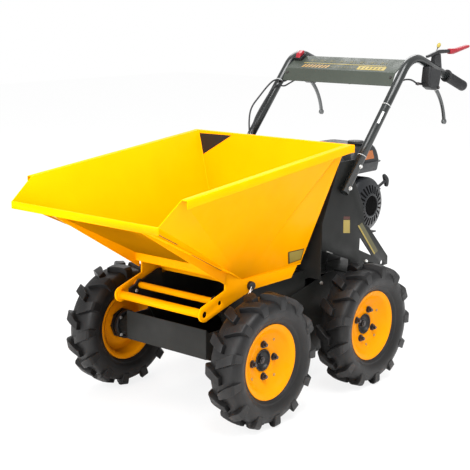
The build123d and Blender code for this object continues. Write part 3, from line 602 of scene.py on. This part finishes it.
# columns: node, edge radius in millimetres, test for its broad folds
ROUNDED = [
    ("tub_side_left", 0.9, side_fold), ("tub_side_right", 0.9, side_fold), ("tub_rear", 0.9, rear_fold),
    ("tub_floor", 0.9, lip_fold), ("tub_arm_left", 1.2, None), ("tub_arm_right", 1.2, None),
    ("spout_frame", 0.9, None), ("floor_rail", 1.5, None), ("chassis_side_left", 1.2, None),
    ("chassis_side_right", 1.2, None), ("front_plate", 1.2, None), ("rear_plate", 1.0, None),
    ("rear_deck", 1.2, None), ("belly_plate", 0.8, None), ("bay_side_left", 1.2, None), ("bay_side_right", 1.2, None),
    ("bay_front_panel", 0.9, None), ("engine_deck", 1.2, None), ("engine_block", 3.0, None),
    ("engine_cylinder", 1.0, None), ("air_cleaner", 3.5, None), ("muffler", 3.5, None), ("belt_guard", 3.0, None),
    ("console", 0.9, None), ("hand_levers", 2.2, None), ("drive_stand", 2.0, None),
    ("drive_lever", 1.8, None), ("drive_grip", 4.0, None), ("stop_switch", 1.5, None),
    ("stop_rocker", 2.0, None), ("gearbox", 4.0, None), ("pivot_lugs", 1.2, None),
]


def round_the_nodes():
    for row in ROUNDED:
        rounded(*row)


# ---- tub ----

FLOOR_EDGE, FLOOR_END, FLOOR_TOP = 180, 345, 427
REAR_LEAN = 49 / 397
SIDE_LEAN = 140 / 397
SPOUT_START, SPOUT_TOP = 55, 427.6
SPOUT_RISE, SPOUT_RUN = 253, 488
# columns: name, middle in Y and Z, radius, bore
CROSS_TUBES = [("front", (-118, 350), 13.5, 10), ("pivot", (-51, 373), 10.5, 7.5)]
# dark strips under the spout: painted shade in the gaps between the spout's beams and the tub
# columns: X and Y of the two ends, depth below the spout's top of the face that they lie on
GAP_SHADOWS = [(243, -416, 236, -282, 3.6), (212, -198, 196, -54, 7.6)]
GAP_SHADOW_WIDTH = 8
WELD_STEP = 2.2
LOCK_PIN = (88, 402)


def on_tub_side(y, z):
    """A point on the outside of the leaning left side."""
    return FLOOR_EDGE + (z - FLOOR_TOP) * SIDE_LEAN, y, z


def on_tub_rear(x, z):
    """A point on the outside of the leaning rear wall."""
    return x, FLOOR_END + (z - FLOOR_TOP) * REAR_LEAN, z


def under_spout(x, y, depth):
    """A point under the spout, its depth below the spout's top side counted straight down."""
    return x, y, SPOUT_TOP + (SPOUT_START - y) * SPOUT_RISE / SPOUT_RUN - depth


def weld(name, start, end, radius, body):
    """A bead of weld with its ripples."""
    a, b = place(*start), place(*end)
    count = round((b - a).length / MM / WELD_STEP)
    line = [a.lerp(b, n / count) for n in range(count + 1)]
    ripple = [radius * (0.82 + 0.18 * cos(pi * n)) for n in range(count + 1)]
    return tube(name, line, ripple, body, "tub_paint", 8)


def make_tub_details():
    """Blank stickers, painted shade in the gaps by the spout's beams, welds, lock pins and the two tubes between the
    arms.
    """
    label = [on_tub_side(279, 437), on_tub_side(344, 441), on_tub_side(342, 480.5), on_tub_side(258, 482)]
    inner = [on_tub_side(284, 440), on_tub_side(340, 443.5), on_tub_side(338.5, 477.5), on_tub_side(265, 479)]
    stickers("side_label_frame", [label], "tub", "black_label", 0.4)
    stickers("side_label", [inner], "tub", "yellow_label", 0.8)
    corner = [on_tub_rear(-296, 736), on_tub_rear(-162, 816), on_tub_rear(-312, 814)]
    stickers("corner_patch", [corner], "tub", "black_label", 0.4)
    # painted shade: dark strips for the gaps beside the beams, mirrored to the other side
    gap_shadows = [[under_spout(x0 - GAP_SHADOW_WIDTH, y0, depth), under_spout(x1 - GAP_SHADOW_WIDTH, y1, depth),
              under_spout(x1, y1, depth), under_spout(x0, y0, depth)] for x0, y0, x1, y1, depth in GAP_SHADOWS]
    gap_shadows += [[(-x, y, z) for x, y, z in reversed(slit)] for slit in gap_shadows]
    stickers("beam_gap_shadows", gap_shadows, "tub", "red_print_and_gap_shade", 0.4)
    for name, side in SIDES:
        weld(f"corner_weld_{name}", (side * 176.5, 344, 428), (side * 315.5, 392.5, 820), 2.4, "tub")
        weld(f"floor_weld_{name}", (side * 177, 343, 428.5), (side * 177, 60, 428.5), 2.2, "tub")
        for label, middle, radius, _ in CROSS_TUBES:
            section = [(175.5, radius - 0.5), (176.4, radius + 1.1), (178, radius + 2.4), (179, radius - 0.5)]
            turned(f"{label}_weld_{name}", section, place(0, *middle), "tub", "tub_paint", steps=40, side=side)
        make_lock_pin(name, side)
    for label, *shape in CROSS_TUBES:
        make_cross_tube(f"{label}_bar", f"{label}_tube", *shape)


def make_cross_tube(name, node, centre, radius, bore):
    """A tube across the tub's arms, with near-black plugs just inside its open ends as painted shade."""
    section = [(-178.5, bore), (-178.5, radius), (178.5, radius), (178.5, bore)]
    bar = turned(name, section, place(0, *centre), "tub", "tub_paint", steps=40)
    for face in bar.data.polygons:
        face.use_smooth = abs(face.normal.x) < 0.5
    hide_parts(node)
    # near-black plug a little inside each end: painted shade in the bore
    for end, side in SIDES:
        turned(f"{name}_end_{end}", [(177, 0.01), (177, bore - 0.05), (181, bore - 0.05), (181, 0.01)],
               place(0, *centre), "tub", "painted_shade_and_badge", steps=32, side=side, closed=False)


def make_lock_pin(name, side):
    """Black cap on the pin that holds the tub down, with its spring clip."""
    centre = place(0, *LOCK_PIN)
    cap = turned(f"lock_cap_{name}", [(184.5, 0.01), (184.5, 14), (194, 13.6), (197.4, 12), (198.5, 8), (198.5, 0.01)],
                 centre, "tub", "black_plastic", steps=40, side=side, closed=False)
    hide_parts("lock_pins")
    legs = [(196, 84, 406), (199.5, 76, 398), (199.5, 57, 374), (199.5, 54.5, 369.5), (199.5, 57.5, 367.5),
            (199.5, 61, 371), (199.5, 74, 388), (199.5, 78, 390), (199.5, 82, 394)]
    tube(f"spring_clip_{name}", [place(side * x, y, z) for x, y, z in legs], 1.2, "tub", "zinc", 8)


# ---- engine ----

CRANK = (790, 555)
# columns: X, radius about the crankshaft
RECOIL_SECTION = [(66, 0.01), (66, 100), (118, 100), (125, 98), (131, 93), (135.5, 85.5), (138.5, 77), (150, 42),
                  (151.4, 39.6), (151.4, 38), (150.4, 36.4), (149, 36), (149, 0.01)]
BADGE_SECTION = [(149, 35.6), (150, 35.2), (150.4, 34), (150.4, 0.01)]


def round_crank(x, radius, degrees_round):
    """A point round the crankshaft."""
    angle = radians(degrees_round)
    return x, CRANK[0] + radius * cos(angle), CRANK[1] + radius * sin(angle)


def make_recoil():
    """Starter housing with a blank badge; its radial slots round a raised cap and slanted side slots are painted shade.
    """
    drum = turned("recoil_housing", RECOIL_SECTION, place(0, *CRANK), "chassis", "engine_paint", steps=112,
                  closed=False)
    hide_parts("recoil_cover")
    # near-black stickers on the sloping face: painted shade for the radial slots
    face = []
    for turn in range(0, 360, 15):
        face.append([round_crank(149.0, 45, turn - 3.4), round_crank(140.0, 72.5, turn - 2.9),
                     round_crank(140.0, 72.5, turn + 2.9), round_crank(149.0, 45, turn + 3.4)])
    stickers("recoil_slot_shades", face, "chassis", "painted_shade_and_badge", 0.9)
    # near-black stickers on the side: painted shade for the slanted slots
    side = []
    for turn in range(84, 156, 10):
        side.append([round_crank(78, 100.2, turn + 12.6), round_crank(114, 100.2, turn + 7.2),
                     round_crank(114, 100.2, turn + 3.2), round_crank(78, 100.2, turn + 8.6)])
    stickers("recoil_side_slot_shades", side, "chassis", "painted_shade_and_badge", 0.8)
    turned("recoil_badge", BADGE_SECTION, place(0, *CRANK), "chassis", "painted_shade_and_badge", steps=64, closed=False)
    for n in range(3):
        spot = place(*round_crank(126, 96.5, 30 + 120 * n))
        bolt(f"recoil_bolt_{n + 1}", spot, (1, 0, 0), 4, "chassis", "dark_steel")


# columns: distance along the grip, bow outwards, radius
GRIP_LINE = [(-24, -2, 3.5), (-22.5, -1, 6.6), (-16, 1.6, 8.6), (-8, 4, 10.2), (0, 5, 11), (8, 4, 10.2),
             (16, 1.6, 8.6), (22.5, -1, 6.6), (24, -2, 3.5)]
GRIP_LEAN = 22


def make_starter_grip():
    """Rounded T grip on the end of the starter's cord."""
    lean = radians(GRIP_LEAN)
    out, up = Vector((0, cos(lean), sin(lean))), Vector((0, -sin(lean), cos(lean)))
    foot, head = place(130, 878, 620), place(130, 904, 630)
    tube("starter_stem", [foot - out * 0.034, foot, head - out * 0.005, head], [5.6, 5.2, 5.6, 7], "chassis",
         "black_plastic", 16)
    line = [head + up * reach * MM + out * bow * MM for reach, bow, _ in GRIP_LINE]
    grip = tube("starter_grip", line, [radius for _, _, radius in GRIP_LINE], "chassis", "black_plastic", 20)
    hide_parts("recoil_handle")


def rounded_rectangle(x0, x1, y0, y1, z, radius, steps=6):
    """The points of a level rectangle with rounded corners."""
    ring = []
    for x, y, start in ((x1 - radius, y1 - radius, 0), (x0 + radius, y1 - radius, 90), (x0 + radius, y0 + radius, 180),
                        (x1 - radius, y0 + radius, 270)):
        for n in range(steps + 1):
            angle = radians(start + 90 * n / steps)
            ring.append((x + radius * cos(angle), y + radius * sin(angle), z))
    return ring


# columns: height, inset from the tank's box, corner radius
TANK_RINGS = [(670, 12, 12), (671.5, 7, 13), (676, 4, 14), (690, 2, 15), (703.6, 0, 16), (704, -6, 20),
              (708, -6, 20), (708.4, 0, 16), (728, 2.5, 17), (744, 6, 18), (756, 10.5, 19), (764, 16, 20),
              (769, 24, 20), (772, 36, 16)]
# lowest and highest X, then Y
TANK = (-95, 128, 712, 873)
TANK_CAP = (84, 780, 772)
# columns: height above the tank's top, radius
CAP_SECTION = [(0, 0.01), (0, 24), (2, 24), (2, 28), (3, 29), (9, 29), (11, 27), (11.4, 20), (11.4, 0.01)]


def make_tank():
    """Pressed tank with its seam, on two feet, with a blank patch and its cap."""
    x0, x1, y0, y1 = TANK
    rings = [rounded_rectangle(x0 + inset, x1 - inset, y0 + inset, y1 - inset, z, radius)
             for z, inset, radius in TANK_RINGS]
    tank = soften(lofted("tank_shell", rings, "chassis", "engine_paint"), 0.8 * MM, 1, 40)
    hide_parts("fuel_tank")
    feet = [[(x - 12, 750, 633), (x + 12, 750, 633), (x + 12, 750, 674), (x - 12, 750, 674)] for x in (-45, 45)]
    for n, foot in enumerate(feet):
        back = [(x, y + 80, z) for x, y, z in foot]
        lofted(f"tank_foot_{n + 1}", [foot, back], "chassis", "engine_paint")
    # blank patch on the leaning end, above the seam
    patch = [(126.8, 774, 718), (126.8, 834, 718), (121.4, 830, 747), (121.4, 778, 747)]
    stickers("tank_patch", [patch], "chassis", "orange_label", 0.8)
    lid = turned("tank_cap", CAP_SECTION, place(*TANK_CAP), "chassis", "black_plastic", steps=36, closed=False,
                 axis=(0, 0, 1))
    for face in lid.data.polygons:
        face.use_smooth = abs(face.normal.z) > 0.3
    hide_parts("fuel_cap")


def make_engine_details():
    make_recoil()
    make_starter_grip()
    make_tank()
    # near-black strips on the muffler's top: painted shade for its louvres
    louvre_shades = [[(-104, y, 736), (-14, y, 736), (-14, y + 6, 736), (-104, y + 6, 736)] for y in range(580, 672, 13)]
    stickers("muffler_louvre_shades", louvre_shades, "chassis", "painted_shade_and_badge", 0.6)
    turned("cleaner_knob", [(0, 9), (4, 9), (6, 6), (12, 5), (14, 0.01)], place(55, 628, 734), "chassis",
           "black_plastic", steps=24, closed=False, axis=(0, 0, 1))
    for n, (x, y) in enumerate(((-30, 568), (30, 568), (-30, 876), (30, 876))):
        bolt(f"deck_bolt_{n + 1}", place(x, y, 446), (0, 0, 1), 8, "chassis")
    for n, (y, z) in enumerate(((838, 555), (790, 603), (742, 555), (690, 480), (620, 400))):
        bolt(f"guard_bolt_{n + 1}", place(-190, y, z), (-1, 0, 0), 7, "chassis")


# ---- chassis and engine bay ----

PLATE_FACE = 173
BAY_FACE = 236
HANDLE_BOLTS = [(493, 667), (550, 732.5)]
# columns: face, Y, Z
SIDE_BOLTS = [(PLATE_FACE, 470, 336), (PLATE_FACE, 24, 262), (PLATE_FACE, 330, 290), (BAY_FACE, 577, 385),
              (BAY_FACE, 640, 392), (PLATE_FACE, 300, 150)]


def make_bay_details():
    """Blank stickers on the left side, and the bolts and pins of both sides."""
    x = BAY_FACE
    stickers("bay_label", [[(x, 505, 511.4), (x, 542, 505.6), (x, 541, 550), (x, 504.5, 555.4)]], "chassis",
             "yellow_label")
    stickers("bay_label_band", [[(x, 504.5, 557.5), (x, 541, 552), (x, 541, 562), (x, 504.5, 567.5)]], "chassis",
             "red_print_and_gap_shade")
    stickers("brace_strip", [[(x, 690, 408), (x, 712, 416), (x, 612, 531), (x, 588, 523)]], "chassis", "olive_label")
    stickers("brace_edge", [[(x, 688, 408), (x, 694, 410), (x, 593, 525.5), (x, 587, 523.5)]], "chassis",
             "yellow_label", 0.9)
    for name, side in SIDES:
        for n, (y, z) in enumerate(HANDLE_BOLTS):
            bolt(f"handle_bolt_{name}_{n + 1}", place(side * 268, y, z), (side, 0, 0), 6.5, "chassis")
        for n, (x, y, z) in enumerate(SIDE_BOLTS):
            bolt(f"side_bolt_{name}_{n + 1}", place(side * x, y, z), (side, 0, 0), 6, "chassis")
        pin = [place(side * (BAY_FACE + 1), y, z) for y, z in ((412, 464), (443, 452))]
        tube(f"skirt_pin_{name}", pin, 2.2, "chassis", "bare_steel", 12)
    for name, side in SIDES:
        bolt(f"lug_bolt_{name}", place(side * 160, -70, 357.5), (-side, 0, 0), 5.5, "chassis")


# ---- handle ----

HANDLE_SPREAD = 253.5
HANDLE_FOOT = (480, 652)
HANDLE_CORNER = (860, 1089)
HANDLE_END = (1205, 963)
HANDLE_BEND = 100
HANDLE_RADIUS = 15
UPRIGHT = (Vector(HANDLE_CORNER) - Vector(HANDLE_FOOT)).normalized()
REAR_RUN = (Vector(HANDLE_END) - Vector(HANDLE_CORNER)).normalized()


def handle_route(steps=16):
    """The handle's Y-Z line, its corner rounded to an arc."""
    before, corner, after = Vector(HANDLE_FOOT), Vector(HANDLE_CORNER), Vector(HANDLE_END)
    back, ahead = (before - corner).normalized(), (after - corner).normalized()
    half = back.angle(ahead) / 2
    middle = corner + (back + ahead).normalized() * HANDLE_BEND / sin(half)
    start = corner + back * HANDLE_BEND / tan(half) - middle
    end = corner + ahead * HANDLE_BEND / tan(half) - middle
    arc = [middle + start.lerp(end, n / steps).normalized() * HANDLE_BEND for n in range(steps + 1)]
    return [before, *arc, after]


def on_upright(y):
    """Height of the upright's middle line."""
    return HANDLE_FOOT[1] + (y - HANDLE_FOOT[0]) * UPRIGHT.y / UPRIGHT.x


GRIP_LENGTH = 120
# columns: distance along the grip, radius
GRIP_RIBS = [(along, 19.3 if n % 2 else 18.1) for n, along in enumerate(range(10, 116, 3))]
GRIP_SECTION = [(0, 15), (0, 21.8), (1, 22.8), (5, 22.8), (6, 21.8), (7, 19), *GRIP_RIBS, (118, 19.6), (127, 19.4),
                (130, 17), (131, 0.01)]
LEVER_END_SECTION = [(-5, 4), (-5, 8.4), (-3, 9.6), (3, 9.6), (5, 8.4), (5, 4)]
# columns: name, side, Y on the upright, radius
TIES = [("upper", 1, 714, 15.9), ("lower", 1, 576, 15.9), ("far", -1, 764, 16.1), ("far_lower", -1, 600, 15.9)]


def make_handle():
    """Bent tubes with their bolts' spacers, ribbed grips, lever ends, cable ties and a sticker."""
    for name, side in SIDES:
        points = [place(side * HANDLE_SPREAD, y, z) for y, z in handle_route()]
        piece = tube(f"handle_bar_{name}", points, HANDLE_RADIUS, "chassis", "tube_paint", 32)
        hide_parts(f"handle_tube_{name}")
        for y, z in HANDLE_BOLTS:
            turned(f"handle_spacer_{name}_{y}", [(BAY_FACE - 0.5, 8), (BAY_FACE + 4, 8)], place(0, y, z), "chassis",
                   "chassis_paint", steps=20, side=side, closed=False)
        start = Vector(HANDLE_END) - REAR_RUN * GRIP_LENGTH
        grip = turned(f"grip_{name}", GRIP_SECTION, place(side * HANDLE_SPREAD, *start), "chassis", "grip_rubber",
                      steps=40, closed=False, axis=(0, *REAR_RUN))
        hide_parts("grips")
        turned(f"lever_end_{name}", LEVER_END_SECTION, place(side * 276, 1052, 843), "chassis", "lever_metal", steps=28)
        bolt(f"lever_pivot_{name}", place(side * 284, 990, 968), (side, 0, 0), 6, "chassis", "dark_steel")
    for name, side, y, radius in TIES:
        turned(f"cable_tie_{name}", [(-1, 14.9), (-1, radius), (1, radius), (1, 14.9)],
               place(side * HANDLE_SPREAD, y, on_upright(y)), "chassis", "white_label", steps=40, axis=(0, *UPRIGHT))
    make_handle_sticker()


# columns: Y, Z
HOUSING_OUTLINE = [(936, 1044), (928, 990), (937, 972), (960, 961), (984, 959), (998, 970), (1006, 1000), (1009, 1028)]
HOUSING_MIDDLE = (970, 1002)
# columns: X, size of the outline there about its middle
HOUSING_RINGS = [(250, 0.9), (253, 0.98), (256, 1), (280, 1), (283, 0.98), (286, 0.9)]


def make_lever_housings():
    """Moulded lever housings below the tubes, and the throttle's small leaning knob."""
    mid_y, mid_z = HOUSING_MIDDLE
    for name, side in SIDES:
        rings = [[(side * x, mid_y + (y - mid_y) * size, mid_z + (z - mid_z) * size) for y, z in HOUSING_OUTLINE]
                 for x, size in HOUSING_RINGS]
        housing = soften(lofted(f"lever_housing_{name}", rings, "chassis", "black_plastic"), 2.5 * MM, 2, 35)
        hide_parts("lever_brackets")
    foot, head = place(HANDLE_SPREAD - 7.5, 1027, 1086), place(HANDLE_SPREAD - 7.5, 1044, 1107)
    tube("throttle_stem", [foot, head], 1.8, "chassis", "lever_metal", 12)
    up = (head - foot).normalized() * MM
    knob = tube("throttle_knob", [head + up * reach for reach in (-3, -1, 3, 8, 13, 16, 17)],
                [2.5, 4.2, 6, 6.8, 6, 4, 1.5], "chassis", "yellow_plastic", 16)
    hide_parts("throttle")


def make_handle_sticker():
    """Blank sticker bent round the front of the left upright."""
    along = Vector((0, *UPRIGHT))
    across = Vector((1, 0, 0))
    out = across.cross(along) * -1
    rings = []
    for y in (661, 693):
        middle = place(HANDLE_SPREAD, y, on_upright(y))
        ring = []
        for radius, turns in ((15.35, range(34, 65, 6)), (14.8, range(64, 33, -6))):
            for turn in turns:
                spoke = across * cos(radians(turn)) + out * -sin(radians(turn))
                ring.append(middle + spoke * radius * MM)
        rings.append(ring)
    count = len(rings[0])
    faces = [tuple(range(count)), tuple(range(count, 2 * count))]
    faces += [(n, (n + 1) % count, count + (n + 1) % count, count + n) for n in range(count)]
    solid("handle_sticker", rings[0] + rings[1], faces, "chassis", "white_label")


# ---- control cables ----

CABLE_RADIUS = 3
# columns: distance forward along the adjuster, radius
ADJUSTER_SECTION = [(-20, 3.05), (-20, 4.6), (-1, 4.6), (0, 5.8), (8, 5.8), (9, 4.2), (15, 3.9), (15, 3.05)]
# Side, then rows of distance out from the handle tube's middle, Y and Z, as in the CAD, apart from the right pair's
# loop below the console, which is up to 10 mm higher
CABLES = {
    "cable_left": (1, [(-1, 912.9, 984), (-1, 902, 985.2), (-4, 866, 1003), (-12, 812, 1001), (-13, 745, 932),
                       (-14, 660, 834), (-22, 625, 793), (-29, 590, 748), (-32, 556, 690), (-50, 540, 580),
                       (-80, 524, 470), (-95, 516, 395), (-95, 516, 371.3)]),
    "cable_right_outer": (-1, [(-1, 914.3, 1000), (-1, 904, 1001), (-8, 860, 999), (-16, 800, 986), (-20, 765, 977),
                               (-17, 748, 981), (-5, 731, 987), (0, 700, 968), (0, 650, 930), (0, 602, 893),
                               (-4, 586, 848), (-18, 574, 795), (-31, 560, 748), (-38, 544, 650), (-60, 528, 540),
                               (-88, 508, 450), (-100, 502, 395), (-100, 502, 371.3)]),
    "cable_right_inner": (-1, [(-7, 912.4, 980), (-7, 902, 981), (-12, 850, 982), (-19, 800, 970), (-24, 762, 960),
                               (-21, 740, 966), (-11, 722, 966), (-9, 680, 923), (-9, 641, 884), (-11, 602, 840),
                               (-24, 582, 790), (-38, 567, 738), (-46, 554, 650), (-66, 542, 540), (-98, 530, 450),
                               (-112, 526, 395), (-112, 526, 371.3)]),
}


def make_cables():
    """The three held cables, each with its adjuster at the lever's end."""
    for name, (side, points) in CABLES.items():
        data = bpy.data.curves.new(name, "CURVE")
        data.dimensions = "3D"
        spline = data.splines.new("NURBS")
        spline.points.add(len(points) - 1)
        for knot, (out, y, z) in zip(spline.points, points):
            knot.co = (*place(side * (HANDLE_SPREAD + out), y, z), 1)
        spline.order_u = 3
        spline.use_endpoint_u = True
        spline.resolution_u = 8
        data.bevel_depth = CABLE_RADIUS * MM
        data.bevel_resolution = 3
        data.use_fill_caps = True
        cable = bpy.data.objects.new(name, data)
        bpy.context.scene.collection.objects.link(cable)
        dress(cable, "black_plastic")
        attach(cable, "chassis")
        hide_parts("cables_left" if side > 0 else "cables_right")
        out, y, z = points[0]
        turned(f"{name}_adjuster", ADJUSTER_SECTION, place(side * (HANDLE_SPREAD + out), y, z), "chassis",
               "dark_steel", steps=20, axis=(0, -1, 0.08))


# ---- console print: plain stripes and marks, no lettering ----

CONSOLE_FOLD = (785, 1027)
CONSOLE_LEAN = atan2(42, 71)


def on_console(x, up):
    """A point of the sloping top, up its slope from the fold."""
    return x, CONSOLE_FOLD[0] + up * cos(CONSOLE_LEAN), CONSOLE_FOLD[1] + up * sin(CONSOLE_LEAN)


def bar(x0, x1, low, high, slant=0.0):
    """The corners of a stripe on the console's top."""
    return [on_console(x0, low), on_console(x1, low), on_console(x1 + slant, high), on_console(x0 + slant, high)]


def make_console_print():
    stickers("print_line", [bar(-181, 179, 36, 39)], "chassis", "yellow_label", 0.35)
    stickers("print_hatch", [bar(x, x + 7, 10, 28, 9) for x in range(-176, -70, 15)], "chassis", "brass_label", 0.35)
    stickers("print_band", [bar(70, 186, 10, 31)], "chassis", "yellow_label", 0.3)
    stickers("print_band_marks", [bar(x, x + 7, 15, 26, 4) for x in range(78, 178, 17)], "chassis", "olive_label", 0.5)
    stickers("print_dashes", [bar(x, x + 6, 14, 24) for x in range(-58, 64, 14)], "chassis", "olive_label", 0.35)
    marks = [bar(x, x + 13, 48, 60) for x in range(-160, 170, 44)]
    marks += [bar(x + 19, x + 25, 50, 58) for x in range(-160, 150, 44)]
    stickers("print_marks", marks, "chassis", "olive_label", 0.35)
    for name, side in SIDES:
        bolt(f"console_bolt_{name}", place(side * 226, 777, 1011), (0, -0.88, 0.46), 4.5, "chassis", "dark_steel")


# ---- all together ----

bpy.context.scene.view_settings.view_transform = "Standard"
add_camera()
add_world()
for lamp in LAMPS:
    add_lamp(*lamp)
add_floor()
dress_cad_nodes()
round_the_nodes()
make_wheels()
make_tub_details()
make_engine_details()
make_bay_details()
make_handle()
make_lever_housings()
make_cables()
make_console_print()
